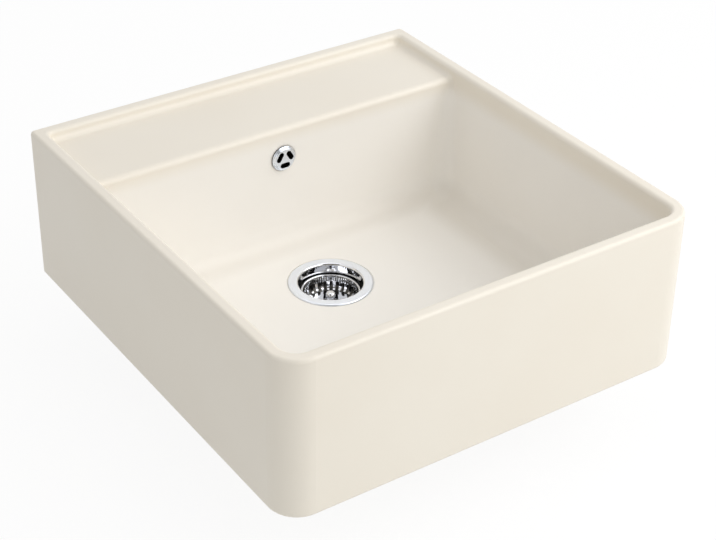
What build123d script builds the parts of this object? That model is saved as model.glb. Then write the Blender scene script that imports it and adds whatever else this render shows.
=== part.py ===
from build123d import *
from math import pi, sin, sqrt
import os

# Ceramic kitchen sink with a tap ledge, a basket strainer waste and an overflow. Millimetres.
# Frame: +X to the right, +Y towards the wall, +Z up. The origin is the middle of the underside.

# Basin: overall size and walls
basin_width = 595.0
basin_depth = 630.0
basin_height = 220.0
wall = 18.0
floor_thickness = 25.0

# Basin: tap ledge behind the bowl
ledge_drop = 15.0
ledge_run = 132.0
ledge_thickness = 15.0

# Basin: roundings
front_corner = 40.0
back_corner = 6.0
rim_outer_round = min(5.0, 0.3 * wall, 0.85 * back_corner)
rim_inner_round = min(6.0, 0.35 * wall, 0.4 * ledge_drop)
ledge_fillet = min(8.5, 0.56 * ledge_drop)
ledge_round = 8.0
foot_round = min(5.0, 0.85 * back_corner)
floor_fillet = 34.0
floor_corner_extra = 4.0
wall_lean = 4.0
cavity_corner = 12.0
cavity_roof_fillet = 4.0
bowl_sections = 8
section_crowding = 1.6
corner_opening = 9

# Clearances and small roundings shared by the fittings
running_clearance = 0.05
thread_clearance = 0.05
loose_clearance = 0.3
gasket_inset = 1.0
edge_round = 0.6
overcut = 1.0

# Waste: places and steel sheet
drain_setback = 118.0
sheet = 1.2
flange_radius = 57.5
flange_width = 14.0
flange_roll = 3.0
flange_edge_gap = 0.4
flange_gasket_thickness = 1.5
flange_edge_round = min(2.2, 0.96 * (flange_gasket_thickness + sheet - flange_edge_gap))
cup_shoulder_inset = 1.2
cup_floor_inset = 11.3
cup_floor_round = 8.0
cup_hole_clearance = 0.8
rebate_depth = 1.2
rebate_clearance = 1.5
outlet_hole_count = 8
outlet_hole_web = 3.4

# Waste: basket, knob and stem
basket_rim_drop = 14.5
basket_rim_gap = 3.2
basket_depth = 19.5
basket_sheet = 1.0
basket_lip = 2.2
basket_rim_flat = 0.6
basket_taper = 4.0
basket_floor_round = 4.0
slot_count = 26
slot_width = 4.8
slot_rise = 12.0
knob_top_drop = 17.0
knob_radius = 6.6
knob_neck_wall = 1.05
knob_foot_radius = 7.0
knob_foot_height = 1.5
knob_cap_height = 7.0
knob_undercut = 1.0
knob_waist_round = 4.0
knob_dome_round = min(4.65, 0.75 * knob_radius)
stem_radius = 2.5
stem_thread = 12.0
stem_collar_radius = 5.0
stem_collar_height = 2.3
stem_reach = 18.0
stem_point = min(1.0, 0.5 * stem_radius)

# Waste: plug
carrier_height = 6.0
carrier_disc = 2.5
carrier_hub_radius = 6.5
carrier_root_round = 1.5
carrier_inset = 4.5
seal_inset = 4.5
seal_lip = 1.1
seal_overlap = 4.0
clip_thickness = 0.8
clip_width = 2.1
clip_groove = 0.5
clip_mouth = 3.4

# Waste: clamping screw, nut and gaskets
screw_radius = 5.0
screw_head_radius = 9.5
screw_head_height = 4.0
screw_head_round = min(1.6, 0.45 * screw_head_height)
screw_point = 1.0
screw_tip_gap = 0.7
screw_slot_width = 2.0
screw_slot_depth = 1.4
washer_thickness = 1.0
nut_across_flats = 17.0
nut_height = 8.0
lower_gasket_thickness = 3.0

# Waste: moulded body under the basin
recess_depth = 8.0
recess_clearance = 4.0
body_flange_width = 11.5
body_flange_thickness = 4.5
body_wall = 3.5
body_clearance = 2.3
body_edge_round = 1.0
body_flange_root = 3.0
sump_clearance = 2.8
sump_round = 10.0
cone_height = 22.0
cone_rise = 2.2
outlet_length = 24.0
outlet_radius = 23.9
outlet_wall = 4.4
outlet_shoulder_round = 6.0
outlet_collar_length = 4.0
outlet_collar_step = 1.5
tail_insert = 5.0
hub_wall = 2.7
hub_gap = 2.5
hub_height = 28.0
rib_thickness = 4.0
rib_height = 18.0
gusset_count = 10
gusset_thickness = 2.5
gusset_drop = 17.5
gusset_inset = 2.0

# Overflow: rosette in the bowl wall
overflow_gap = 6.0
rosette_seat = 2.2
rosette_rim = 2.2
rosette_cap_margin = 1.2
rosette_cap_height = 4.8
rosette_cap_round = 1.9
rosette_rim_round = 1.2
rosette_slot_margin = 0.2
rosette_slot_count = 3
rosette_slot_width = 7.4
rosette_slot_length = 15.0
barrel_radius = 14.8
barrel_wall = 1.3
barrel_length = 32.0
overflow_hole_clearance = 1.0
spot_face_depth = 0.4
rosette_gasket_thickness = 1.0

# Overflow: elbow, pipe and compression joints
overflow_gasket_thickness = 3.0
elbow_flange_radius = 24.0
elbow_flange_thickness = 4.0
elbow_wall = 3.4
pipe_radius = 12.5
pipe_wall = 2.0
pipe_bend = 40.0
pipe_end_gap = 1.0
socket_wall = 4.6
socket_depth = 18.0
elbow_drop = 42.0
spigot_gap = 14.5
spigot_rise = 20.0
nut_wall = 4.55
nut_gap = 2.7
nut_edge_round = 0.8
nut_skirt = 13.0
nut_lip = 3.0
nut_rib_count = 16
nut_rib_radius = 1.3
nut_rib_inset = 1.5
seal_height = 4.0
seal_edge = 0.5
seal_tip = 1.5

# Places worked out from the sizes above: basin
half_width = basin_width / 2
half_depth = basin_depth / 2
inner_half = half_width - wall
inner_front = wall - half_depth
lip_y = half_depth - wall
bowl_back = lip_y - ledge_run
wall_back = bowl_back + wall
ledge_z = basin_height - ledge_drop
ledge_under = ledge_z - ledge_thickness
join_z = ledge_z - 2 * ledge_round
bowl_corner = front_corner - wall
floor_z = floor_thickness
floor_corner = floor_fillet + floor_corner_extra

# Places: cup, basket, plug and screw, stacked downwards from the flange
drain_y = bowl_back - drain_setback
drain = Pos(0, drain_y, 0)
seat_z = floor_z - rebate_depth
flange_under = seat_z + flange_gasket_thickness
flange_top = flange_under + sheet
basket_rim_z = flange_top - basket_rim_drop
basket_floor_z = basket_rim_z - basket_depth
basket_under = basket_floor_z - basket_sheet
knob_top = flange_top - knob_top_drop
collar_bottom = basket_under - stem_collar_height
carrier_top = collar_bottom - loose_clearance
carrier_bottom = carrier_top - carrier_height
carrier_disc_top = carrier_bottom + carrier_disc
clip_bottom = carrier_bottom - loose_clearance - clip_thickness
head_top = clip_bottom - loose_clearance
stem_tip = head_top - stem_reach
screw_seat = head_top - screw_head_height
cup_floor_z = screw_seat - washer_thickness

# Places: radii of the waste
cup_mouth_radius = flange_radius - flange_width
cup_outer = cup_mouth_radius + sheet
cup_shoulder_radius = cup_mouth_radius - cup_shoulder_inset
cup_floor_radius = cup_shoulder_radius - cup_floor_inset
drain_hole_radius = cup_outer + cup_hole_clearance
basket_rim_radius = cup_mouth_radius - basket_rim_gap
basket_wall_radius = basket_rim_radius - 2 * basket_sheet - basket_rim_flat
basket_floor_radius = basket_wall_radius - basket_taper
seal_radius = cup_floor_radius - seal_inset
carrier_radius = seal_radius - carrier_inset
outlet_hole_circle = (screw_head_radius + seal_radius - seal_lip) / 2
outlet_hole_radius = outlet_hole_circle * sin(pi / outlet_hole_count) - outlet_hole_web / 2
stem_hole = stem_radius + running_clearance
knob_neck_radius = stem_hole + knob_neck_wall
clip_radius = stem_radius + clip_width

# Places: waste body
recess_z = recess_depth
body_bore = cup_outer + body_clearance
body_radius = body_bore + body_wall
body_flange_radius = body_radius + body_flange_width
recess_radius = body_flange_radius + recess_clearance
body_flange_top = recess_z - lower_gasket_thickness
body_flange_bottom = body_flange_top - body_flange_thickness
hub_radius = nut_across_flats / sqrt(3) + hub_wall
hub_top = cup_floor_z - sheet - hub_gap
hub_bottom = hub_top - hub_height
screw_tip = hub_bottom + screw_tip_gap
body_wall_bottom = hub_bottom - sump_clearance
outlet_top = body_wall_bottom - cone_height
outlet_bottom = outlet_top - outlet_length
outlet_bore = outlet_radius - outlet_wall
outlet_collar_radius = outlet_radius + outlet_collar_step
outlet_collar_end = outlet_top - outlet_collar_length
tail_neck = outlet_bore + outlet_wall / 2
tail_top = outlet_collar_end + tail_insert

# Places: overflow
barrel_bore = barrel_radius - barrel_wall
overflow_hole_radius = barrel_radius + overflow_hole_clearance
rosette_radius = overflow_hole_radius + rosette_seat
rosette_cap_radius = barrel_radius + rosette_cap_margin
rosette_slot_half = (rosette_slot_length - rosette_slot_width) / 2
rosette_slot_reach = barrel_bore - rosette_slot_margin - rosette_slot_width / 2
rosette_slot_circle = sqrt(rosette_slot_reach**2 - rosette_slot_half**2)
rosette_base = rosette_gasket_thickness - spot_face_depth
barrel_end = rosette_base - barrel_length
overflow_z = ledge_under - elbow_flange_radius - overflow_gap
overflow_face = Plane(origin=(0, bowl_back, overflow_z), x_dir=(1, 0, 0), z_dir=(0, -1, 0))
waterway = pipe_radius - pipe_wall
pipe_hole = pipe_radius + loose_clearance
socket_radius = pipe_hole + socket_wall
nut_thread = socket_radius + thread_clearance
nut_grip_radius = nut_thread + nut_wall
pipe_setback = nut_grip_radius + nut_rib_radius + nut_gap
pipe_y = wall_back + pipe_setback
elbow_end = overflow_z - elbow_drop
elbow_joint = Plane(origin=(0, pipe_y, elbow_end), x_dir=(1, 0, 0), z_dir=(0, 0, -1))
spigot_height = body_wall_bottom + spigot_rise
spigot_reach = body_radius + nut_skirt + spigot_gap
spigot_end = drain_y + spigot_reach
spigot_joint = Plane(origin=(0, spigot_end, spigot_height), x_dir=(1, 0, 0), z_dir=(0, 1, 0))


def turned(points, radii=None):
    """Solid of revolution about Z from a closed outline of (radius, height) points."""
    if radii is None:
        outline = Polyline(*points, close=True)
    else:
        outline = FilletPolyline(*points, radius=radii, close=True)
    return revolve(Plane.XZ * make_face(outline), Axis.Z)


def pressed_sheet(points, radii, thickness):
    """Sheet metal turned about Z: points follow its upper face from the edge to the middle."""
    path = FilletPolyline(*points, radius=radii)
    sides = [path.offset_2d(thickness, side=side, closed=True) for side in (Side.LEFT, Side.RIGHT)]
    below = min([make_face(outline) for outline in sides], key=lambda face: face.center().Y)
    return revolve(Plane.XZ * below, Axis.Z)


def ring(inner, outer, bottom, top):
    """Plain flat ring about Z."""
    return turned([(inner, bottom), (outer, bottom), (outer, top), (inner, top)])


def rod(radius, bottom, top):
    """Plain rod about Z."""
    return Pos(0, 0, bottom) * Cylinder(radius, top - bottom, align=(Align.CENTER, Align.CENTER, Align.MIN))


def outline_at(z, half, front, back, front_radius, back_radius):
    """Rectangle at height z with one corner radius at the front and another at the back."""
    flat = Pos(0, (front + back) / 2) * Rectangle(2 * half, back - front)
    flat = fillet(flat.vertices().group_by(Axis.Y)[0], front_radius)
    if back_radius > 0:
        flat = fillet(flat.vertices().group_by(Axis.Y)[-1], back_radius)
    return Pos(0, 0, z) * flat


def bowl_section(down):
    """Outline of the bowl, down from 0 at the ledge to 1 at the floor: it leans in and its corners open."""
    lean = wall_lean * down**2
    opened = (floor_corner - bowl_corner) * down**3
    front_radius = bowl_corner + opened
    tightened = (bowl_corner - ledge_fillet) * (1 - down) ** corner_opening
    back_radius = front_radius - tightened
    z = join_z + (floor_z - join_z) * down
    return outline_at(z, inner_half - lean, inner_front + lean, bowl_back - lean, front_radius, back_radius)


def ledge_space():
    """Space above the tap ledge and the top of the bowl."""
    top = basin_height + wall
    space = extrude(outline_at(join_z, inner_half, inner_front, lip_y, bowl_corner, 0), top - join_z)
    block = Pos(0, bowl_back, join_z) * Box(
        basin_width, ledge_run + wall, ledge_z - join_z, align=(Align.CENTER, Align.MIN, Align.MIN)
    )
    nose = block.edges().filter_by(Axis.X).group_by(Axis.Y)[0].sort_by(Axis.Z)[-1]
    space -= fillet(nose, ledge_round)
    hollow_edges = [
        edge
        for edge in space.edges()
        if edge.center().Y > bowl_back - running_clearance
        and edge.center().Z < top - running_clearance
        and (
            abs(abs(edge.center().X) - inner_half) < running_clearance
            or abs(edge.center().Y - lip_y) < running_clearance
        )
    ]
    return fillet(hollow_edges, ledge_fillet)


def bowl_space():
    """Space inside the bowl below the ledge, with the wide curve into the floor."""
    steps = [(step / bowl_sections) ** section_crowding for step in range(bowl_sections + 1)]
    space = loft([bowl_section(down) for down in steps])
    return fillet(space.faces().sort_by(Axis.Z)[0].edges(), floor_fillet)


def ledge_cavity():
    """Hollow under the tap ledge, open below, where the overflow pipe and tap tails run."""
    flat = Pos(0, (wall_back + lip_y) / 2) * Rectangle(2 * inner_half, lip_y - wall_back)
    space = extrude(fillet(flat.vertices(), cavity_corner), ledge_under)
    return fillet(space.faces().sort_by(Axis.Z)[-1].edges(), cavity_roof_fillet)


def make_basin():
    outline = outline_at(0, half_width, -half_depth, half_depth, front_corner, back_corner)
    block = extrude(outline, basin_height)
    block = fillet(block.faces().sort_by(Axis.Z)[-1].edges(), rim_outer_round)
    block = fillet(block.faces().sort_by(Axis.Z)[0].edges(), foot_round)
    body = block - (ledge_space() + bowl_space())
    rim = body.faces().sort_by(Axis.Z)[-1]
    body = fillet(rim.inner_wires()[0].edges(), rim_inner_round)
    body -= ledge_cavity()
    body -= drain * rod(drain_hole_radius, -overcut, basin_height)
    body -= drain * rod(flange_radius + rebate_clearance, seat_z, basin_height)
    body -= drain * rod(recess_radius, -overcut, recess_z)
    body -= overflow_face * rod(overflow_hole_radius, -2 * wall, wall)
    body -= overflow_face * rod(rosette_radius + rebate_clearance, -spot_face_depth, wall)
    return body


def make_strainer_cup():
    path = [
        (flange_radius, seat_z + flange_edge_gap),
        (flange_radius, flange_top),
        (cup_mouth_radius, flange_top),
        (cup_shoulder_radius, basket_floor_z),
        (cup_floor_radius, cup_floor_z),
        (screw_radius + loose_clearance, cup_floor_z),
    ]
    cup = pressed_sheet(path, [flange_edge_round, flange_roll, cup_floor_round, cup_floor_round], sheet)
    hole = rod(outlet_hole_radius, cup_floor_z - 2 * sheet, cup_floor_z + sheet)
    for spot in PolarLocations(outlet_hole_circle, outlet_hole_count):
        cup -= spot * hole
    return drain * cup


def make_strainer_basket():
    path = [
        (basket_rim_radius, basket_rim_z - basket_lip),
        (basket_rim_radius, basket_rim_z),
        (basket_wall_radius, basket_rim_z),
        (basket_floor_radius, basket_floor_z),
        (stem_hole, basket_floor_z),
    ]
    basket = pressed_sheet(path, [basket_sheet, basket_sheet, basket_floor_round], basket_sheet)
    slot = Pos(basket_floor_radius, 0, basket_under) * Box(
        3 * basket_taper, slot_width, slot_rise, align=(Align.CENTER, Align.CENTER, Align.MIN)
    )
    slot = fillet(slot.edges().filter_by(Axis.X).group_by(Axis.Z)[-1], 0.45 * slot_width)
    for spot in PolarLocations(0, slot_count):
        basket -= spot * slot
    return drain * basket


def make_basket_knob():
    cap_bottom = knob_top - knob_cap_height
    foot_top = basket_floor_z + knob_foot_height
    neck_bottom = foot_top + knob_foot_radius - knob_neck_radius
    outline = [
        (0, basket_floor_z),
        (knob_foot_radius, basket_floor_z),
        (knob_foot_radius, foot_top),
        (knob_neck_radius, neck_bottom),
        (knob_neck_radius, cap_bottom - knob_undercut),
        (knob_radius, cap_bottom),
        (knob_radius, knob_top),
        (0, knob_top),
    ]
    rounds = [0, edge_round, edge_round, knob_waist_round, knob_undercut, knob_undercut, knob_dome_round, 0]
    knob = turned(outline, rounds)
    stem_top = basket_floor_z + stem_thread
    return drain * (knob - rod(stem_hole, basket_floor_z - overcut, stem_top + loose_clearance))


def make_basket_stem():
    stem = rod(stem_radius, stem_tip, basket_floor_z + stem_thread)
    stem = chamfer(stem.edges().group_by(Axis.Z)[0], stem_point)
    stem += rod(stem_collar_radius, collar_bottom, basket_under)
    groove_bottom = clip_bottom - clip_groove / 2
    groove_top = clip_bottom + clip_thickness + clip_groove / 2
    stem -= ring(stem_radius - clip_groove, 2 * stem_radius, groove_bottom, groove_top)
    return drain * stem


def make_seal_carrier():
    outline = [
        (stem_hole, carrier_bottom),
        (carrier_radius, carrier_bottom),
        (carrier_radius, carrier_disc_top),
        (carrier_hub_radius, carrier_disc_top),
        (carrier_hub_radius, carrier_top),
        (stem_hole, carrier_top),
    ]
    return drain * turned(outline, [0, edge_round, edge_round, carrier_root_round, edge_round, 0])


def make_plug_seal():
    edge = carrier_radius + running_clearance
    grip = carrier_radius - seal_overlap
    foot = cup_floor_z + loose_clearance
    groove_top = carrier_disc_top + running_clearance
    groove_bottom = carrier_bottom - running_clearance
    outline = [
        (grip, groove_top),
        (edge, groove_top),
        (edge, groove_bottom),
        (grip, groove_bottom),
        (grip, groove_bottom - seal_lip),
        (edge + seal_lip, groove_bottom - seal_lip),
        (seal_radius - seal_lip, foot),
        (seal_radius, foot),
        (seal_radius - seal_lip, carrier_bottom),
        (edge + 2 * seal_lip, groove_top + seal_lip),
        (grip, groove_top + seal_lip),
    ]
    return drain * turned(outline)


def make_stem_clip():
    bore = stem_hole - clip_groove
    clip = ring(bore, clip_radius, clip_bottom, clip_bottom + clip_thickness)
    mouth = Pos(clip_radius / 2, 0, clip_bottom) * Box(clip_radius, clip_mouth, 4 * clip_thickness)
    return drain * (clip - mouth)


def make_clamp_screw():
    screw = rod(screw_radius, screw_tip, screw_seat)
    screw = chamfer(screw.edges().group_by(Axis.Z)[0], screw_point)
    head = rod(screw_head_radius, screw_seat, head_top)
    screw += fillet(head.edges().group_by(Axis.Z)[-1], screw_head_round)
    screw -= rod(stem_radius + loose_clearance, stem_tip - 2 * overcut, head_top + overcut)
    slot = Pos(0, 0, head_top) * Box(3 * screw_head_radius, screw_slot_width, 2 * screw_slot_depth)
    return drain * (screw - slot - Rot(0, 0, 90) * slot)


def make_screw_washer():
    return drain * ring(screw_radius + loose_clearance, screw_head_radius, cup_floor_z, screw_seat)


def make_insert_nut():
    hexagon = RegularPolygon(nut_across_flats / 2, 6, major_radius=False)
    nut = Pos(0, 0, hub_bottom) * extrude(hexagon, nut_height)
    thread = rod(screw_radius + thread_clearance, hub_bottom - overcut, hub_top)
    return drain * (nut - thread)


def make_flange_gasket():
    inner = cup_mouth_radius + flange_roll + running_clearance
    outer = flange_radius - flange_edge_round - gasket_inset
    return drain * ring(inner, outer, seat_z, flange_under)


def make_lower_gasket():
    inner = drain_hole_radius + gasket_inset
    outer = body_flange_radius - gasket_inset
    return drain * ring(inner, outer, body_flange_top, recess_z)


def make_gusset():
    """Small web between the body's flange and its wall, standing on the XZ plane."""
    start = body_bore + body_wall / 2
    tip = body_flange_radius - gusset_inset
    web = make_face(Polyline((start, 0), (tip, 0), (start, -gusset_drop), close=True))
    return Pos(0, 0, body_flange_bottom) * extrude(Plane.XZ * web, gusset_thickness / 2, both=True)


def make_waste_body():
    outside = [
        (0, body_flange_top),
        (body_flange_radius, body_flange_top),
        (body_flange_radius, body_flange_bottom),
        (body_radius, body_flange_bottom),
        (body_radius, body_wall_bottom),
        (outlet_collar_radius, outlet_top),
        (outlet_collar_radius, outlet_collar_end),
        (0, outlet_collar_end),
    ]
    flange_rounds = [0, body_edge_round, body_edge_round, body_flange_root]
    body = turned(outside, flange_rounds + [sump_round, outlet_shoulder_round, body_edge_round, 0])
    gusset = make_gusset()
    for spot in PolarLocations(0, gusset_count, start_angle=90 + 180 / gusset_count):
        body += spot * gusset
    spigot_frame = Plane(origin=(0, 0, spigot_height), x_dir=(1, 0, 0), z_dir=(0, 1, 0))
    body += spigot_frame * rod(socket_radius, 0, spigot_reach)
    inside = [
        (0, body_flange_top + overcut),
        (body_bore, body_flange_top + overcut),
        (body_bore, body_wall_bottom),
        (outlet_bore, outlet_top + cone_rise),
        (outlet_bore, outlet_collar_end - overcut),
        (0, outlet_collar_end - overcut),
    ]
    body -= turned(inside, [0, 0, sump_round - body_wall, outlet_shoulder_round, 0, 0])
    body -= rod(tail_neck + running_clearance, outlet_collar_end - overcut, tail_top)
    body -= spigot_frame * rod(waterway, body_bore / 2, spigot_reach)
    body -= spigot_frame * rod(pipe_hole, spigot_reach - socket_depth, spigot_reach + overcut)
    hub = rod(hub_radius, hub_bottom, hub_top)
    rib = Pos(0, 0, hub_bottom + rib_height / 2) * Box(2 * body_bore + body_wall, rib_thickness, rib_height)
    spider = hub + Rot(0, 0, 45) * rib + Rot(0, 0, -45) * rib
    body += spider & turned(outside)
    body -= rod(screw_radius + loose_clearance, hub_bottom - overcut, hub_top + overcut)
    pocket = RegularPolygon(nut_across_flats / 2 + running_clearance, 6, major_radius=False)
    pocket = extrude(pocket, overcut + nut_height + running_clearance)
    return drain * (body - Pos(0, 0, hub_bottom - overcut) * pocket)


def make_outlet_tail():
    outline = [
        (outlet_bore, outlet_bottom),
        (outlet_radius, outlet_bottom),
        (outlet_radius, outlet_collar_end),
        (tail_neck, outlet_collar_end),
        (tail_neck, tail_top),
        (outlet_bore, tail_top),
    ]
    return drain * turned(outline, [0, body_edge_round, 0, 0, 0, 0])


def make_overflow_rosette():
    rim_top = rosette_base + rosette_rim
    cap_top = rosette_base + rosette_cap_height
    outline = [
        (barrel_bore, barrel_end),
        (barrel_radius, barrel_end),
        (barrel_radius, rosette_base),
        (rosette_radius, rosette_base),
        (rosette_radius, rim_top),
        (rosette_cap_radius, rim_top),
        (rosette_cap_radius, cap_top),
        (0, cap_top),
        (0, cap_top - barrel_wall),
        (barrel_bore, cap_top - barrel_wall),
    ]
    rounds = [0, edge_round, 0, 0, rosette_rim_round, edge_round, rosette_cap_round, 0, 0, edge_round]
    rosette = turned(outline, rounds)
    slot = extrude(SlotOverall(rosette_slot_length, rosette_slot_width, rotation=90), cap_top)
    for spot in PolarLocations(rosette_slot_circle, rosette_slot_count, start_angle=-90):
        rosette -= Pos(0, 0, rosette_base) * spot * slot
    return overflow_face * rosette


def make_rosette_gasket():
    low = -spot_face_depth
    inner = overflow_hole_radius - overflow_hole_clearance / 2
    return overflow_face * ring(inner, rosette_radius - gasket_inset, low, rosette_base)


def make_overflow_gasket():
    outer = elbow_flange_radius - gasket_inset
    return overflow_face * ring(overflow_hole_radius, outer, -wall - overflow_gasket_thickness, -wall)


def make_overflow_elbow():
    front = -wall - overflow_gasket_thickness
    inlet = barrel_radius + thread_clearance
    outer = inlet + elbow_wall
    corner = -wall - pipe_setback
    turn = Pos(0, pipe_y, overflow_z)
    drop = Pos(0, pipe_y, 0)
    elbow = overflow_face * rod(elbow_flange_radius, front - elbow_flange_thickness, front)
    elbow += overflow_face * rod(outer, corner, front)
    elbow += turn * Sphere(max(outer, socket_radius))
    elbow += drop * rod(socket_radius, elbow_end, overflow_z)
    elbow -= overflow_face * rod(inlet, barrel_end - overcut, front + overcut)
    elbow -= overflow_face * rod(waterway, corner, barrel_end)
    elbow -= turn * Sphere(waterway)
    elbow -= drop * rod(waterway, elbow_end, overflow_z)
    return elbow - drop * rod(pipe_hole, elbow_end - overcut, elbow_end + socket_depth)


def make_overflow_pipe():
    top = elbow_end + socket_depth - pipe_end_gap
    far = spigot_end - socket_depth + pipe_end_gap
    corner = (0, pipe_y, spigot_height)
    path = FilletPolyline((0, pipe_y, top), corner, (0, far, spigot_height), radius=pipe_bend)
    start = Plane(origin=(0, pipe_y, top), z_dir=(0, 0, -1))
    outside = sweep(start * Circle(pipe_radius), path)
    return outside - sweep(start * Circle(waterway), path)


def compression_nut():
    """Ribbed nut over a socket whose mouth is at z = 0, with the pipe leaving along +Z."""
    top = seal_height + nut_lip
    outline = [
        (nut_thread, -nut_skirt),
        (nut_grip_radius, -nut_skirt),
        (nut_grip_radius, seal_height),
        (nut_grip_radius - nut_lip, top),
        (pipe_hole, top),
        (pipe_hole, seal_height),
        (nut_thread, seal_height),
    ]
    nut = turned(outline, [0, nut_edge_round, nut_edge_round, nut_edge_round, nut_edge_round, 0, 0])
    rib = rod(nut_rib_radius, nut_rib_inset - nut_skirt, seal_height - nut_rib_inset)
    for spot in PolarLocations(nut_grip_radius, nut_rib_count):
        nut += spot * rib
    return nut


def compression_seal():
    """Tapered ring between the socket's mouth and the nut's lip."""
    inner = pipe_radius + running_clearance
    outer = socket_radius - seal_edge
    return turned([
        (inner, 0),
        (outer, 0),
        (outer, seal_height / 2),
        (inner + seal_tip, seal_height),
        (inner, seal_height),
    ])


pieces = {
    "basin": make_basin(),
    "strainer_cup": make_strainer_cup(),
    "flange_gasket": make_flange_gasket(),
    "lower_gasket": make_lower_gasket(),
    "waste_body": make_waste_body(),
    "outlet_tail": make_outlet_tail(),
    "clamp_screw": make_clamp_screw(),
    "screw_washer": make_screw_washer(),
    "insert_nut": make_insert_nut(),
    "strainer_basket": make_strainer_basket(),
    "basket_knob": make_basket_knob(),
    "basket_stem": make_basket_stem(),
    "seal_carrier": make_seal_carrier(),
    "plug_seal": make_plug_seal(),
    "stem_clip": make_stem_clip(),
    "overflow_rosette": make_overflow_rosette(),
    "rosette_gasket": make_rosette_gasket(),
    "overflow_gasket": make_overflow_gasket(),
    "overflow_elbow": make_overflow_elbow(),
    "overflow_pipe": make_overflow_pipe(),
}
for place, joint in (("elbow", elbow_joint), ("spigot", spigot_joint)):
    pieces[place + "_nut"] = joint * compression_nut()
    pieces[place + "_seal"] = joint * compression_seal()

os.makedirs("parts", exist_ok=True)
for name, piece in pieces.items():
    export_step(piece, "parts/" + name + ".step")
    print(name, round(piece.volume), "mm3")
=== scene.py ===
# %% [markdown]
# A ceramic kitchen sink, dressed for its portrait
#
# Every piece of this sink already has its true shape and place: a heavy glazed basin, a strainer
# waste in its floor and an overflow behind its bowl. In this lesson Blender gives each piece the
# finish of the real one. We load the pieces, make one material for each real finish, cut a pipe
# thread where the bare piece is smooth, and then set up a small photo studio.

# %% Load the pieces
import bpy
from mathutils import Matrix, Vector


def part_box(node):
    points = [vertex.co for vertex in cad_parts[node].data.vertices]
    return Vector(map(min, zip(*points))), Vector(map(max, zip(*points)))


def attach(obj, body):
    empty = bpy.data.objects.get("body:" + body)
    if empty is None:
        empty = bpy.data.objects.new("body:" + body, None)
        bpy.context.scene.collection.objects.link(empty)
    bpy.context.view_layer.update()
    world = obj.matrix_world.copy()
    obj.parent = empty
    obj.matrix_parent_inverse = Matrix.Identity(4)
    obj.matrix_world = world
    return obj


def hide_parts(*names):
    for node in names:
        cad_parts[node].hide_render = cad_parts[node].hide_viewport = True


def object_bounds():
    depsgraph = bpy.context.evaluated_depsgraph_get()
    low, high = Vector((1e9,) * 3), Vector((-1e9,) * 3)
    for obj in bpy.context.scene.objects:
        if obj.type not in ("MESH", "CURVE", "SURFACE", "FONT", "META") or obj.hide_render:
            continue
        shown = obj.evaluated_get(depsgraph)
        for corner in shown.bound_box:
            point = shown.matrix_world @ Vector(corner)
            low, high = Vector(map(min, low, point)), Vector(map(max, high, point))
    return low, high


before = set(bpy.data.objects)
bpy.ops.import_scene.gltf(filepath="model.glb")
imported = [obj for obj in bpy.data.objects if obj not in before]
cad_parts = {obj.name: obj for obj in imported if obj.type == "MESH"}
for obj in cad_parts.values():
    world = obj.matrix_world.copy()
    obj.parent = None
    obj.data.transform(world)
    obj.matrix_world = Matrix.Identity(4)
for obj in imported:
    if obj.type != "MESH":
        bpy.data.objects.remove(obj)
cad_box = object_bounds()
print("pieces loaded:", len(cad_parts))

# %% [markdown]
# Colours and nodes
#
# Painters write a colour as an sRGB hex value, but light is added up in linear values, so one
# function turns the first into the second. A second function adds a node to a material, sets it and
# links it. Sizes of patterns are given in millimetres, and the scale that a texture node wants is
# how many such patterns fit in a metre. The Mix node has several inputs of the same name, so they
# go by number, and these numbers get names here. So does the detail of a noise, which is how many
# finer copies of itself it has on top.

# %% Helpers for colours, nodes and patterns
import bpy
from math import radians
from mathutils import Matrix, Vector

share = 0
value_a = 2
value_b = 3
colour_a = 6
colour_b = 7
mixed_colour = 2
detail_soft = 1.0
detail_plain = 2.0
detail_fine = 3.0
detail_rich = 4.0


def linear(hex_colour):
    """Turn an sRGB hex colour into linear red, green, blue and alpha."""
    channels = [int(hex_colour[start:start + 2], 16) / 255 for start in (1, 3, 5)]
    values = [c / 12.92 if c <= 0.04045 else ((c + 0.055) / 1.055) ** 2.4 for c in channels]
    return (*values, 1.0)


def add_node(tree, kind, inputs, **settings):
    """Add a node, set its properties, and give each named input a value or a link."""
    node = tree.nodes.new(kind)
    for name, value in settings.items():
        setattr(node, name, value)
    for socket, value in inputs.items():
        if isinstance(value, bpy.types.NodeSocket):
            tree.links.new(value, node.inputs[socket])
        else:
            node.inputs[socket].default_value = value
    return node


def new_finish(name):
    """Make an empty material and give back its node tree."""
    material = bpy.data.materials.new(name)
    material.use_nodes = True
    material.node_tree.nodes.clear()
    return material, material.node_tree


def dress(material, *names):
    """Give CAD pieces their finish."""
    for name in names:
        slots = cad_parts[name].data.materials
        slots.clear()
        slots.append(material)
    print(material.name, "on", ", ".join(names))


def per_metre(millimetres):
    """Scale of a texture whose features are this far apart."""
    return 1000 / millimetres


white = linear("#FFFFFF")
print("white is", white)

# %% [markdown]
# Ivory glaze on fireclay
#
# The basin is fireclay, pressed in a mould, dipped in ivory glaze and fired once. The glaze is
# glass: it is glossy, it never lies quite flat, and it is a little warmer where it is thick. In the
# bowl the glaze is painted a shade paler, as painted light that offsets the warmer light bouncing
# between its walls, and the photograph shows one even ivory. Along the foot of those walls the
# glaze is painted darker, as painted shade in the deep corners. The underside is bare, where the
# basin stood in the kiln, and so are the walls of the hollow under the tap ledge. One material can
# hold all of these.
# Masks made from the place on the basin choose between them.

# %% Glazed fireclay
flow_size = 160
ripple_size = 75
peel_size = 4
grit_size = 0.9

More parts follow.
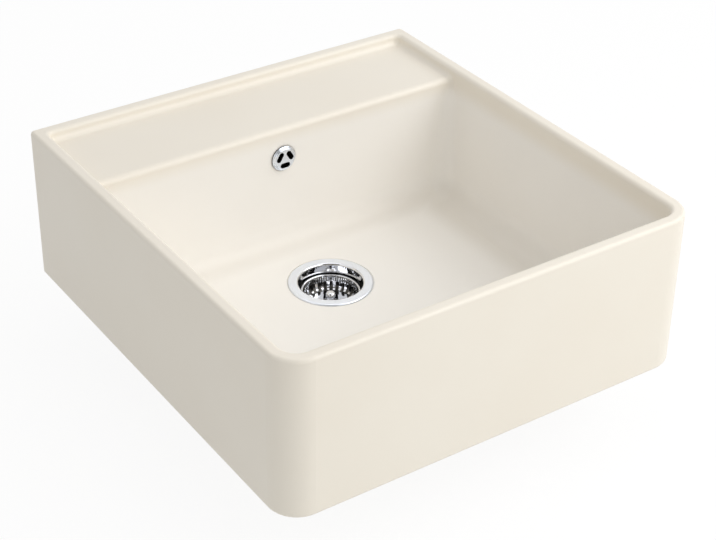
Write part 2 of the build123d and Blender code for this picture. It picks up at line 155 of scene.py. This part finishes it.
glaze, tree = new_finish("ivory glaze on fireclay")
place = add_node(tree, "ShaderNodeTexCoord", {}).outputs["Object"]
axes = add_node(tree, "ShaderNodeSeparateXYZ", {"Vector": place})
flow = add_node(
    tree, "ShaderNodeTexNoise",
    {"Vector": place, "Scale": per_metre(flow_size), "Detail": detail_plain}).outputs["Fac"]
ripple = add_node(
    tree, "ShaderNodeTexNoise",
    {"Vector": place, "Scale": per_metre(ripple_size), "Detail": detail_soft}).outputs["Fac"]
peel = add_node(
    tree, "ShaderNodeTexNoise",
    {"Vector": place, "Scale": per_metre(peel_size), "Detail": detail_plain}).outputs["Fac"]
grit = add_node(
    tree, "ShaderNodeTexNoise",
    {"Vector": place, "Scale": per_metre(grit_size), "Detail": detail_fine}).outputs["Fac"]
print("glaze ripples about every", ripple_size, "mm")

# %% Where the glaze stops
foot_height = 0.0022
hollow_front = 0.1825
hollow_half_width = 0.281
hollow_middle = 0.240
hollow_half_depth = hollow_middle - hollow_front
hollow_roof = 0.1905

foot = add_node(
    tree, "ShaderNodeMath", {0: axes.outputs["Z"], 1: foot_height}, operation="LESS_THAN")
aside = add_node(tree, "ShaderNodeMath", {0: axes.outputs["X"]}, operation="ABSOLUTE")
across = add_node(
    tree, "ShaderNodeMath", {0: aside.outputs[0], 1: hollow_half_width}, operation="LESS_THAN")
behind = add_node(
    tree, "ShaderNodeMath", {0: axes.outputs["Y"], 1: hollow_middle}, operation="SUBTRACT")
inward = add_node(tree, "ShaderNodeMath", {0: behind.outputs[0]}, operation="ABSOLUTE")
within = add_node(
    tree, "ShaderNodeMath", {0: inward.outputs[0], 1: hollow_half_depth}, operation="LESS_THAN")
below = add_node(
    tree, "ShaderNodeMath", {0: axes.outputs["Z"], 1: hollow_roof}, operation="LESS_THAN")
plan = add_node(
    tree, "ShaderNodeMath", {0: across.outputs[0], 1: within.outputs[0]}, operation="MULTIPLY")
hollow = add_node(
    tree, "ShaderNodeMath", {0: plan.outputs[0], 1: below.outputs[0]}, operation="MULTIPLY")
bare = add_node(
    tree, "ShaderNodeMath", {0: foot.outputs[0], 1: hollow.outputs[0]}, operation="MAXIMUM"
).outputs[0]
print("bare clay up to", foot_height, "m and in the hollow up to", hollow_roof, "m")

# %% Where the bowl's coat is painted paler, as painted light
bowl_half_width = 0.2885
bowl_middle = -0.066
bowl_half_depth = 0.240
bowl_diagonal = 0.510
bowl_rim = 0.205
bowl_deep = 0.175

beside = add_node(
    tree, "ShaderNodeMath", {0: aside.outputs[0], 1: bowl_half_width}, operation="LESS_THAN")
along = add_node(
    tree, "ShaderNodeMath", {0: axes.outputs["Y"], 1: bowl_middle}, operation="SUBTRACT")
reach = add_node(tree, "ShaderNodeMath", {0: along.outputs[0]}, operation="ABSOLUTE")
before = add_node(
    tree, "ShaderNodeMath", {0: reach.outputs[0], 1: bowl_half_depth}, operation="LESS_THAN")
diagonal = add_node(
    tree, "ShaderNodeMath", {0: aside.outputs[0], 1: reach.outputs[0]}, operation="ADD")
cornered = add_node(
    tree, "ShaderNodeMath", {0: diagonal.outputs[0], 1: bowl_diagonal}, operation="LESS_THAN")
square = add_node(
    tree, "ShaderNodeMath", {0: beside.outputs[0], 1: before.outputs[0]}, operation="MULTIPLY")
bowl_plan = add_node(
    tree, "ShaderNodeMath", {0: square.outputs[0], 1: cornered.outputs[0]}, operation="MULTIPLY")
depth = add_node(
    tree, "ShaderNodeMapRange",
    {"Value": axes.outputs["Z"], "From Min": bowl_rim, "From Max": bowl_deep},
    interpolation_type="SMOOTHSTEP")
bowl_painted_light_mask = add_node(
    tree, "ShaderNodeMath", {0: bowl_plan.outputs[0], 1: depth.outputs[0]}, operation="MULTIPLY"
).outputs[0]
print("bowl's coat from", bowl_rim, "m down")

# %% Where shade is painted at the foot of the walls
foot_shade_side_start = 0.200
foot_shade_side_full = 0.246
foot_shade_end_start = 0.188
foot_shade_end_full = 0.216
foot_shade_top = 0.058
foot_shade_full = 0.031

side_foot = add_node(
    tree, "ShaderNodeMapRange",
    {"Value": aside.outputs[0], "From Min": foot_shade_side_start, "From Max": foot_shade_side_full},
    interpolation_type="SMOOTHSTEP")
end_foot = add_node(
    tree, "ShaderNodeMapRange",
    {"Value": reach.outputs[0], "From Min": foot_shade_end_start, "From Max": foot_shade_end_full},
    interpolation_type="SMOOTHSTEP")
low = add_node(
    tree, "ShaderNodeMapRange",
    {"Value": axes.outputs["Z"], "From Min": foot_shade_top, "From Max": foot_shade_full},
    interpolation_type="SMOOTHSTEP")
wall_foot = add_node(
    tree, "ShaderNodeMath", {0: side_foot.outputs[0], 1: end_foot.outputs[0]},
    operation="MAXIMUM")
painted_foot_shade = add_node(
    tree, "ShaderNodeMath", {0: wall_foot.outputs[0], 1: low.outputs[0]}, operation="MULTIPLY"
).outputs[0]
print("glaze pools below", foot_shade_top, "m")

# %% Colour of the basin
glaze_thin = linear("#F4EEE2")
glaze_thick = linear("#F0E8DA")
# The bowl's colours are painted paler than the outer glaze, as painted light.
bowl_thin_painted_paler = linear("#FAF7F1")
bowl_thick_painted_paler = linear("#F7F3EC")
# This darker colour is painted shade along the foot of the bowl's walls.
bowl_painted_shade = linear("#ECE7DE")
biscuit_pale = linear("#E9DFCC")
biscuit_dark = linear("#D9CBB2")

outer_coat = add_node(
    tree, "ShaderNodeMix", {share: flow, colour_a: glaze_thin, colour_b: glaze_thick},
    data_type="RGBA").outputs[mixed_colour]
bowl_painted_paler = add_node(
    tree, "ShaderNodeMix", {share: flow, colour_a: bowl_thin_painted_paler, colour_b: bowl_thick_painted_paler},
    data_type="RGBA").outputs[mixed_colour]
bowl_painted_light_and_shade = add_node(
    tree, "ShaderNodeMix", {share: painted_foot_shade, colour_a: bowl_painted_paler, colour_b: bowl_painted_shade},
    data_type="RGBA").outputs[mixed_colour]
coat_colour = add_node(
    tree, "ShaderNodeMix", {share: bowl_painted_light_mask, colour_a: outer_coat, colour_b: bowl_painted_light_and_shade},
    data_type="RGBA").outputs[mixed_colour]
clay_colour = add_node(
    tree, "ShaderNodeMix", {share: grit, colour_a: biscuit_pale, colour_b: biscuit_dark},
    data_type="RGBA").outputs[mixed_colour]
colour = add_node(
    tree, "ShaderNodeMix", {share: bare, colour_a: coat_colour, colour_b: clay_colour},
    data_type="RGBA").outputs[mixed_colour]
print("glaze", [round(value, 2) for value in glaze_thin[:3]])

# %% Gloss and surface of the basin
coat_smooth = 0.34
coat_rough = 0.44
biscuit_rough = 0.85
ripple_relief = 0.0004
peel_relief = 0.00002
grit_relief = 0.0002
glaze_bump = 0.6
glaze_refraction = 1.5

coat_gloss = add_node(
    tree, "ShaderNodeMapRange", {"Value": peel, "To Min": coat_smooth, "To Max": coat_rough})
gloss = add_node(
    tree, "ShaderNodeMix", {share: bare, value_a: coat_gloss.outputs[0], value_b: biscuit_rough})
waves = add_node(
    tree, "ShaderNodeBump", {"Height": ripple, "Distance": ripple_relief, "Strength": glaze_bump})
skin = add_node(
    tree, "ShaderNodeBump",
    {"Height": peel, "Distance": peel_relief, "Strength": glaze_bump,
     "Normal": waves.outputs["Normal"]})
grain = add_node(
    tree, "ShaderNodeBump",
    {"Height": grit, "Distance": grit_relief, "Strength": bare, "Normal": skin.outputs["Normal"]})
shader = add_node(
    tree, "ShaderNodeBsdfPrincipled",
    {"Base Color": colour, "Roughness": gloss.outputs[0], "IOR": glaze_refraction,
     "Normal": grain.outputs["Normal"]})
add_node(tree, "ShaderNodeOutputMaterial", {"Surface": shader.outputs["BSDF"]})
dress(glaze, "basin")

# %% [markdown]
# Polished stainless steel
#
# The strainer cup, its basket and the knob are stainless steel, polished on a turning wheel. Inside
# the cup the polish is a mirror. The wide flange is walked over by pots and cloths, so it is satin,
# with the wheel's fine rings left in it. The rings are too fine to see one by one, so they are
# drawn coarser here, and they only nudge the gloss and the reflections. How far a point is from the
# waste's axis tells the flange from the cup. Below the basket's rim the cup is painted dark grey
# and dull, as painted shade, and that is why the basket's slots look dark. One function makes both
# finishes, from the height where the painted shade starts. The basket and the knob are polished all
# over, so theirs starts at the foot of the whole sink, and they get no painted shade.

# %% Where the waste is
waste_low, waste_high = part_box("strainer_cup")
waste_middle = (waste_low + waste_high) / 2
basket_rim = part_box("strainer_basket")[1].z
sink_foot = cad_box[0][2]
print("waste axis at", round(waste_middle.x, 4), round(waste_middle.y, 4))
print("basket rim at", round(basket_rim, 4), "and foot at", round(sink_foot, 4))

# %% Mirror, satin flange and painted shade in the depth
mirror_bright = linear("#E6E7EA")
mirror_dull = linear("#D6D7DA")
satin_white = linear("#EDF2FB")
# Dark grey painted as shade on the cup below the basket's rim.
painted_shade_grey = linear("#7C7975")
mirror_smooth = 0.02
mirror_rough = 0.07
satin_smooth = 0.22
satin_rough = 0.42
shaded_depth_smooth = 0.3
shaded_depth_rough = 0.6
ring_spacing = 0.6
ring_relief = 0.00001
smear_size = 14
flange_inner = 0.0445
flange_start = 0.0465
painted_shade_fade = 0.003
flat = (1.0, 1.0, 0.0)


def polished_steel(name, painted_shade_height):
    """Steel polished down to a height and painted dark and dull below it, as painted shade, with a
    satin flange.
    """
    material, tree = new_finish(name)
    place = add_node(tree, "ShaderNodeTexCoord", {}).outputs["Object"]
    centred = add_node(
        tree, "ShaderNodeMapping",
        {"Vector": place, "Location": (-waste_middle.x, -waste_middle.y, 0)})
    level = add_node(
        tree, "ShaderNodeVectorMath", {0: centred.outputs["Vector"], 1: flat}, operation="MULTIPLY")
    radius = add_node(
        tree, "ShaderNodeVectorMath", {0: level.outputs["Vector"]}, operation="LENGTH"
    ).outputs["Value"]
    height = add_node(tree, "ShaderNodeSeparateXYZ", {"Vector": place}).outputs["Z"]
    flange = add_node(
        tree, "ShaderNodeMapRange",
        {"Value": radius, "From Min": flange_inner, "From Max": flange_start}).outputs[0]
    painted_shade_below = add_node(
        tree, "ShaderNodeMapRange",
        {"Value": height, "From Min": painted_shade_height, "From Max": painted_shade_height - painted_shade_fade}).outputs[0]
    rings = add_node(
        tree, "ShaderNodeTexNoise",
        {"W": radius, "Scale": per_metre(ring_spacing), "Detail": detail_plain},
        noise_dimensions="1D").outputs["Fac"]
    smears = add_node(
        tree, "ShaderNodeTexNoise",
        {"Vector": place, "Scale": per_metre(smear_size), "Detail": detail_fine}).outputs["Fac"]
    mirror = add_node(
        tree, "ShaderNodeMix", {share: smears, colour_a: mirror_bright, colour_b: mirror_dull},
        data_type="RGBA").outputs[mixed_colour]
    polish = add_node(
        tree, "ShaderNodeMix", {share: flange, colour_a: mirror, colour_b: satin_white},
        data_type="RGBA").outputs[mixed_colour]
    colour = add_node(
        tree, "ShaderNodeMix", {share: painted_shade_below, colour_a: polish, colour_b: painted_shade_grey},
        data_type="RGBA").outputs[mixed_colour]
    mirror_gloss = add_node(
        tree, "ShaderNodeMapRange",
        {"Value": smears, "To Min": mirror_smooth, "To Max": mirror_rough}).outputs[0]
    satin_gloss = add_node(
        tree, "ShaderNodeMapRange",
        {"Value": rings, "To Min": satin_smooth, "To Max": satin_rough}).outputs[0]
    shaded_depth_gloss = add_node(
        tree, "ShaderNodeMapRange",
        {"Value": smears, "To Min": shaded_depth_smooth, "To Max": shaded_depth_rough}).outputs[0]
    polish_gloss = add_node(
        tree, "ShaderNodeMix", {share: flange, value_a: mirror_gloss, value_b: satin_gloss}
    ).outputs[0]
    gloss = add_node(
        tree, "ShaderNodeMix", {share: painted_shade_below, value_a: polish_gloss, value_b: shaded_depth_gloss})
    turning = add_node(
        tree, "ShaderNodeBump", {"Height": rings, "Distance": ring_relief, "Strength": flange})
    shader = add_node(
        tree, "ShaderNodeBsdfPrincipled",
        {"Base Color": colour, "Metallic": 1.0, "Roughness": gloss.outputs[0],
         "Normal": turning.outputs["Normal"]})
    add_node(tree, "ShaderNodeOutputMaterial", {"Surface": shader.outputs["BSDF"]})
    return material


dress(polished_steel("polished stainless steel", sink_foot), "strainer_basket", "basket_knob")
dress(polished_steel("stainless steel with painted shade below the rim", basket_rim), "strainer_cup")

# %% [markdown]
# Chrome on the overflow rosette
#
# The rosette is brass with bright chrome on it. Plating follows the metal below, so it shows soft
# dents rather than rings, and a little lime where water runs. It doesn't reach into the barrel
# behind the bowl's wall: in there the bare brass is painted almost black, as painted shade, which
# is why the slots look black.

# %% Chrome plating
chrome_clean = linear("#F0F6FF")
chrome_limed = linear("#E2E9F3")
# Near black painted as shade on the bare brass inside the barrel.
brass_painted_shade = linear("#2C2925")
clean_gloss = 0.02
limed_gloss = 0.2
unplated_gloss = 0.6
dent_size = 6
dent_relief = 0.00005
dent_bump = 0.5
lime_size = 3
plating_end = 0.1632

chrome, tree = new_finish("bright chrome plating")
place = add_node(tree, "ShaderNodeTexCoord", {}).outputs["Object"]
dents = add_node(
    tree, "ShaderNodeTexNoise",
    {"Vector": place, "Scale": per_metre(dent_size), "Detail": detail_soft}).outputs["Fac"]
lime = add_node(
    tree, "ShaderNodeTexNoise",
    {"Vector": place, "Scale": per_metre(lime_size), "Detail": detail_rich}).outputs["Fac"]
inwards = add_node(tree, "ShaderNodeSeparateXYZ", {"Vector": place}).outputs["Y"]
unplated_painted_dark = add_node(
    tree, "ShaderNodeMath", {0: inwards, 1: plating_end}, operation="GREATER_THAN").outputs[0]
plated = add_node(
    tree, "ShaderNodeMix", {share: lime, colour_a: chrome_clean, colour_b: chrome_limed},
    data_type="RGBA").outputs[mixed_colour]
colour = add_node(
    tree, "ShaderNodeMix", {share: unplated_painted_dark, colour_a: plated, colour_b: brass_painted_shade},
    data_type="RGBA").outputs[mixed_colour]
plated_gloss = add_node(
    tree, "ShaderNodeMapRange", {"Value": lime, "To Min": clean_gloss, "To Max": limed_gloss})
gloss = add_node(
    tree, "ShaderNodeMix",
    {share: unplated_painted_dark, value_a: plated_gloss.outputs[0], value_b: unplated_gloss})
plating = add_node(
    tree, "ShaderNodeBump", {"Height": dents, "Distance": dent_relief, "Strength": dent_bump})
shader = add_node(
    tree, "ShaderNodeBsdfPrincipled",
    {"Base Color": colour, "Metallic": 1.0, "Roughness": gloss.outputs[0],
     "Normal": plating.outputs["Normal"]})
add_node(tree, "ShaderNodeOutputMaterial", {"Surface": shader.outputs["BSDF"]})
dress(chrome, "overflow_rosette")
rosette_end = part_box("overflow_rosette")[1].y
print("plating ends at", plating_end, "and the rosette at", round(rosette_end, 4))

# %% [markdown]
# Turned steel and brass
#
# The clamping screw, the stem and its clip are steel straight from the lathe, and the nut in the
# waste is brass from the same machine. The tool's marks run round each piece, one above the other,
# so their pattern follows the height alone. They are drawn a little coarser than the real ones, so
# that they show, and they draw the light out into a soft streak.

# %% Metals from the lathe
tool_mark = 0.6
mark_relief = 0.00004
mark_bump = 0.6


def turned_metal(name, bright, dull, smooth, rough):
    """Metal with tool marks one above the other."""
    material, tree = new_finish(name)
    place = add_node(tree, "ShaderNodeTexCoord", {}).outputs["Object"]
    height = add_node(tree, "ShaderNodeSeparateXYZ", {"Vector": place}).outputs["Z"]
    marks = add_node(
        tree, "ShaderNodeTexNoise",
        {"W": height, "Scale": per_metre(tool_mark), "Detail": detail_soft},
        noise_dimensions="1D").outputs["Fac"]
    colour = add_node(
        tree, "ShaderNodeMix", {share: marks, colour_a: linear(bright), colour_b: linear(dull)},
        data_type="RGBA").outputs[mixed_colour]
    gloss = add_node(
        tree, "ShaderNodeMapRange", {"Value": marks, "To Min": smooth, "To Max": rough})
    groove = add_node(
        tree, "ShaderNodeBump", {"Height": marks, "Distance": mark_relief, "Strength": mark_bump})
    shader = add_node(
        tree, "ShaderNodeBsdfPrincipled",
        {"Base Color": colour, "Metallic": 1.0, "Roughness": gloss.outputs[0],
         "Normal": groove.outputs["Normal"]})
    add_node(tree, "ShaderNodeOutputMaterial", {"Surface": shader.outputs["BSDF"]})
    return material


turned_steel = turned_metal("turned stainless steel", "#C4C3C0", "#A3A29F", smooth=0.22, rough=0.4)
machined_brass = turned_metal("machined brass", "#D9B766", "#B68E3F", smooth=0.2, rough=0.38)
dress(turned_steel, "clamp_screw", "basket_stem", "stem_clip")
dress(machined_brass, "insert_nut")

# %% [markdown]
# Rubber and mouldings
#
# Gaskets and the plug's seal are black rubber: matt, and a touch greyer where a bloom sits on it.
# The waste body, elbow, pipe and nuts are white polypropylene, and the seal's carrier is dark
# acetal. A moulding takes the fine texture of its tool, drawn a little coarser here so that it
# shows, and has a waxy gloss. These three finishes share one recipe and differ in their colours,
# their grain and their gloss.

# %% Rubber and plastics
grains_per_cloud = 20
grain_bump = 0.5


def moulded(name, colours, grain_size, relief, smooth, rough, refraction):
    """Plastic or rubber with the grain of its mould."""
    material, tree = new_finish(name)
    place = add_node(tree, "ShaderNodeTexCoord", {}).outputs["Object"]
    cloud_size = grains_per_cloud * grain_size
    grain = add_node(
        tree, "ShaderNodeTexNoise",
        {"Vector": place, "Scale": per_metre(grain_size), "Detail": detail_fine}).outputs["Fac"]
    cloud = add_node(
        tree, "ShaderNodeTexNoise",
        {"Vector": place, "Scale": per_metre(cloud_size), "Detail": detail_plain}).outputs["Fac"]
    colour = add_node(
        tree, "ShaderNodeMix",
        {share: cloud, colour_a: linear(colours[0]), colour_b: linear(colours[1])},
        data_type="RGBA").outputs[mixed_colour]
    gloss = add_node(
        tree, "ShaderNodeMapRange", {"Value": grain, "To Min": smooth, "To Max": rough})
    texture = add_node(
        tree, "ShaderNodeBump", {"Height": grain, "Distance": relief, "Strength": grain_bump})
    shader = add_node(
        tree, "ShaderNodeBsdfPrincipled",
        {"Base Color": colour, "Roughness": gloss.outputs[0], "IOR": refraction,
         "Normal": texture.outputs["Normal"]})
    add_node(tree, "ShaderNodeOutputMaterial", {"Surface": shader.outputs["BSDF"]})
    return material


rubber = moulded(
    "black rubber", ("#1C1C1D", "#2B2B2C"), grain_size=0.5, relief=0.00008, smooth=0.55, rough=0.85,
    refraction=1.52)
polypropylene = moulded(
    "white polypropylene", ("#EAE9E4", "#E1DFD8"), grain_size=0.7, relief=0.00006, smooth=0.32,
    rough=0.52, refraction=1.49)
acetal = moulded(
    "dark acetal", ("#3A3B3D", "#303133"), grain_size=0.6, relief=0.00004, smooth=0.3, rough=0.5,
    refraction=1.48)
dress(rubber, "flange_gasket", "lower_gasket", "plug_seal", "rosette_gasket", "overflow_gasket",
      "elbow_seal", "spigot_seal", "screw_washer")
dress(polypropylene, "waste_body", "outlet_tail", "overflow_elbow", "overflow_pipe", "elbow_nut",
      "spigot_nut")
dress(acetal, "seal_carrier")

# %% [markdown]
# A pipe thread on the outlet
#
# The nut of a trap screws on the tailpiece below the waste. The bare piece has a smooth wall there,
# as wide as the crests of the thread. A boolean cut along a helix is slow and often fails, so the
# thread is built the other way round: a copy of the piece is turned down to the roots, as on a
# lathe, and one tooth is swept round it by the Screw modifier, which climbs by one pitch in each
# turn.

# %% Turn the tailpiece down to the thread's roots
crest_radius = 0.0239
thread_depth = 0.0015
thread_pitch = 0.00231
neck_limit = 0.0222
straight_wall = 0.0201
weld = 0.000005

plain_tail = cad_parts["outlet_tail"]
outlet_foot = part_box("outlet_tail")[0].z
outlet_axis = Vector((waste_middle.x, waste_middle.y, outlet_foot))
threaded_tail = bpy.data.objects.new("threaded_outlet_tail", plain_tail.data.copy())
bpy.context.scene.collection.objects.link(threaded_tail)
bpy.ops.object.select_all(action="DESELECT")
threaded_tail.select_set(True)
bpy.context.view_layer.objects.active = threaded_tail
bpy.ops.object.mode_set(mode="EDIT")
bpy.ops.mesh.select_mode(type="VERT")
bpy.ops.mesh.select_all(action="SELECT")
bpy.ops.mesh.remove_doubles(threshold=weld)
bpy.ops.mesh.select_all(action="DESELECT")
bpy.ops.object.mode_set(mode="OBJECT")
for vertex in threaded_tail.data.vertices:
    offset = vertex.co - outlet_axis
    vertex.select = offset.xy.length > neck_limit and offset.z < straight_wall
bpy.ops.object.mode_set(mode="EDIT")
root_share = 1 - thread_depth / crest_radius
bpy.ops.transform.resize(value=(root_share, root_share, 1.0), center_override=outlet_axis)
bpy.ops.object.mode_set(mode="OBJECT")
print("tailpiece turned down by", round(1000 * thread_depth, 2), "mm")

# %% Shape one tooth
thread_start = 0.0026
tooth_overlap = 0.0003
tooth_root = 0.94
tooth_crest = 0.3

bpy.ops.object.select_all(action="DESELECT")
bpy.ops.mesh.primitive_plane_add(
    size=1.0, location=outlet_axis + Vector((0, 0, thread_start)), rotation=(radians(90), 0, 0))
tooth = bpy.context.object
bpy.ops.object.transform_apply(location=False, rotation=True, scale=False)
tooth_height = thread_depth + tooth_overlap
tooth_width = tooth_root * thread_pitch
tooth_middle = crest_radius - tooth_height / 2
bpy.ops.object.mode_set(mode="EDIT")
bpy.ops.mesh.delete(type="ONLY_FACE")
bpy.ops.mesh.select_mode(type="VERT")
bpy.ops.mesh.select_all(action="SELECT")
bpy.ops.transform.resize(
    value=(tooth_height, 1.0, tooth_width), center_override=tooth.location)
bpy.ops.transform.translate(value=(tooth_middle, 0, 0))
bpy.ops.mesh.select_all(action="DESELECT")
bpy.ops.object.mode_set(mode="OBJECT")
for vertex in tooth.data.vertices:
    vertex.select = vertex.co.x > tooth_middle
bpy.ops.object.mode_set(mode="EDIT")
bpy.ops.transform.resize(value=(1.0, 1.0, tooth_crest), center_override=tooth.location)
bpy.ops.object.mode_set(mode="OBJECT")
for vertex in tooth.data.vertices:
    print("tooth corner at", [round(1000 * value, 2) for value in vertex.co], "mm")

# %% Sweep it round the outlet
thread_turns = 7
thread_steps = 72
tooth_corners = 4
crease_angle = radians(30)

sweep = tooth.modifiers.new("thread", "SCREW")
sweep.axis = "Z"
sweep.angle = radians(360)
sweep.iterations = thread_turns
sweep.screw_offset = thread_pitch
sweep.steps = thread_steps
sweep.render_steps = thread_steps
bpy.ops.object.modifier_apply(modifier="thread")
bpy.ops.object.mode_set(mode="EDIT")
bpy.ops.mesh.select_all(action="SELECT")
bpy.ops.mesh.remove_doubles(threshold=weld)
bpy.ops.mesh.fill_holes(sides=tooth_corners)
bpy.ops.mesh.normals_make_consistent(inside=False)
bpy.ops.object.mode_set(mode="OBJECT")
bpy.ops.object.transform_apply(location=True, rotation=True, scale=True)
threaded_tail.select_set(True)
bpy.context.view_layer.objects.active = threaded_tail
bpy.ops.object.join()
bpy.ops.object.shade_smooth_by_angle(angle=crease_angle)
threaded_tail.data.materials.clear()
threaded_tail.data.materials.append(polypropylene)
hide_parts("outlet_tail")
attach(threaded_tail, "sink")
print("threaded tailpiece has", len(threaded_tail.data.polygons), "faces")

# %% [markdown]
# The studio: a white floor and a white room
#
# The photograph was taken on pure white. Lighting the object harder would bleach it, so the floor
# and the room are only white for the rays that the camera, the metal and the glass see. For all
# other rays the room is a soft grey light and the floor a plain pale surface. A tenth of the
# floor's own shading is kept for the camera as well, so that the sink's shadow stays.

# %% Rays that see the white
room_light = 0.585


def seen_rays(tree):
    """One for rays from the camera, a mirror or glass, and zero for the others."""
    rays = add_node(tree, "ShaderNodeLightPath", {})
    mirrored = add_node(
        tree, "ShaderNodeMath",
        {0: rays.outputs["Is Camera Ray"], 1: rays.outputs["Is Glossy Ray"]}, operation="MAXIMUM")
    return add_node(
        tree, "ShaderNodeMath", {0: mirrored.outputs[0], 1: rays.outputs["Is Transmission Ray"]},
        operation="MAXIMUM").outputs[0]


world = bpy.data.worlds.new("white room")
world.use_nodes = True
world.node_tree.nodes.clear()
bpy.context.scene.world = world
tree = world.node_tree
lighting = add_node(tree, "ShaderNodeBackground", {"Color": white, "Strength": room_light})
backdrop = add_node(tree, "ShaderNodeBackground", {"Color": white, "Strength": 1.0})
room = add_node(
    tree, "ShaderNodeMixShader",
    {0: seen_rays(tree), 1: lighting.outputs[0], 2: backdrop.outputs[0]})
add_node(tree, "ShaderNodeOutputWorld", {"Surface": room.outputs[0]})
print("room light", room_light)

# %% The floor just below the outlet
paper_white = linear("#F2F2F0")
floor_glow = 0.91
floor_share = 0.10
floor_size = 9.0
floor_gap = 0.001

bpy.ops.object.select_all(action="DESELECT")
bpy.ops.mesh.primitive_plane_add(size=floor_size, location=(0, 0, sink_foot - floor_gap))
floor = bpy.context.object
floor.name = "studio_floor"
bpy.ops.object.transform_apply(location=True, rotation=True, scale=True)
paper, tree = new_finish("white paper floor")
matt = add_node(tree, "ShaderNodeBsdfDiffuse", {"Color": paper_white})
shade = add_node(
    tree, "ShaderNodeBsdfDiffuse", {"Color": (floor_share, floor_share, floor_share, 1.0)})
glow = add_node(tree, "ShaderNodeEmission", {"Color": white, "Strength": floor_glow})
bright = add_node(tree, "ShaderNodeAddShader", {0: shade.outputs[0], 1: glow.outputs[0]})
paper_seen = add_node(
    tree, "ShaderNodeMixShader", {0: seen_rays(tree), 1: matt.outputs[0], 2: bright.outputs[0]})
clear = add_node(tree, "ShaderNodeBsdfTransparent", {})
side = add_node(tree, "ShaderNodeNewGeometry", {}).outputs["Backfacing"]
one_sided = add_node(
    tree, "ShaderNodeMixShader", {0: side, 1: paper_seen.outputs[0], 2: clear.outputs[0]})
add_node(tree, "ShaderNodeOutputMaterial", {"Surface": one_sided.outputs[0]})
floor.data.materials.append(paper)
print("floor at", round(floor.data.vertices[0].co.z, 4), "m")

# %% [markdown]
# Three soft lamps
#
# In the photograph the front is brightest, the tap ledge a little less, and the side at the left is
# only two thirds as bright, while the bowl's floor grows darker towards the right. A large key lamp
# in front and to the right gives most of that. A second one further round to the right throws the
# wall's soft shadow on the floor, and a weak one overhead lifts the ledge. The room fills the rest.

# %% Key, side and top lamp
lamp_distance = 2.6
lamp_size = 1.5
key_power = 17.5
side_power = 16.5
top_power = 4.0
aim = Vector((0, 0, 0.11))


def hang_lamp(name, direction, power):
    """Hang a square soft lamp in a direction from the sink, turned towards it."""
    lamp = bpy.data.lights.new(name, "AREA")
    lamp.energy = power
    lamp.size = lamp_size
    holder = bpy.data.objects.new(name, lamp)
    towards = Vector(direction).normalized()
    holder.location = aim + towards * lamp_distance
    holder.rotation_euler = towards.to_track_quat("Z", "Y").to_euler()
    bpy.context.scene.collection.objects.link(holder)
    print(name, "at", [round(value, 2) for value in holder.location])


hang_lamp("key_lamp", (0.4, -1.0, 0.82), key_power)
hang_lamp("side_lamp", (1.0, -0.5, 0.9), side_power)
hang_lamp("top_lamp", (0.0, -0.05, 1.0), top_power)

# %% [markdown]
# A dark card for the mirrors
#
# A mirror in an all-white room looks like grey paper. Photographers hang a dark card above the
# camera, so that polished metal has something dark to show, and that is what draws the knob and the
# basket in the photograph. The card here is seen by mirrors alone: it casts no shadow and takes no
# light from the glaze.

# %% Hang the dark card
felt_black = linear("#1A1A1B")
card_size = 1.3
card_distance = 1.5
card_direction = Vector((-0.42, -0.57, 0.72)).normalized()

bpy.ops.object.select_all(action="DESELECT")
bpy.ops.mesh.primitive_plane_add(
    size=card_size, location=aim + card_direction * card_distance,
    rotation=card_direction.to_track_quat("Z", "Y").to_euler())
card = bpy.context.object
card.name = "dark_card"
bpy.ops.object.transform_apply(location=True, rotation=True, scale=True)
felt, tree = new_finish("black felt")
pile = add_node(tree, "ShaderNodeBsdfDiffuse", {"Color": felt_black})
add_node(tree, "ShaderNodeOutputMaterial", {"Surface": pile.outputs[0]})
card.data.materials.append(felt)
card.visible_camera = False
card.visible_diffuse = False
card.visible_transmission = False
card.visible_shadow = False
print("card at", [round(value, 2) for value in aim + card_direction * card_distance])

# %% [markdown]
# The camera
#
# The camera stands where the photographer stood. Its place and angles were worked out from the
# sink's outline: it looks a third of the way down, from the front and the left. The picture was
# cropped after it was taken, so its middle isn't where the lens pointed. A small shift of the lens
# allows for that.

# %% Camera of the photograph
camera_place = Vector((-1.075, -1.5764, 1.3016))
camera_heading = radians(34.009)
camera_tilt = radians(32.141)
camera_roll = radians(0.663)
camera_lens = 87.29
film_width = 36
lens_right = 0.02
lens_down = 0.03

view = bpy.data.cameras.new("portrait_camera")
view.lens = camera_lens
view.sensor_width = film_width
view.sensor_fit = "HORIZONTAL"
view.shift_x = lens_right
view.shift_y = -lens_down
camera = bpy.data.objects.new("portrait_camera", view)
turn = Matrix.Rotation(-camera_heading, 4, "Z")
turn = turn @ Matrix.Rotation(radians(90) - camera_tilt, 4, "X")
turn = turn @ Matrix.Rotation(camera_roll, 4, "Z")
camera.matrix_world = Matrix.Translation(camera_place) @ turn
bpy.context.scene.collection.objects.link(camera)
bpy.context.scene.camera = camera
bpy.context.scene.view_settings.view_transform = "Standard"
print("camera lens", view.lens)
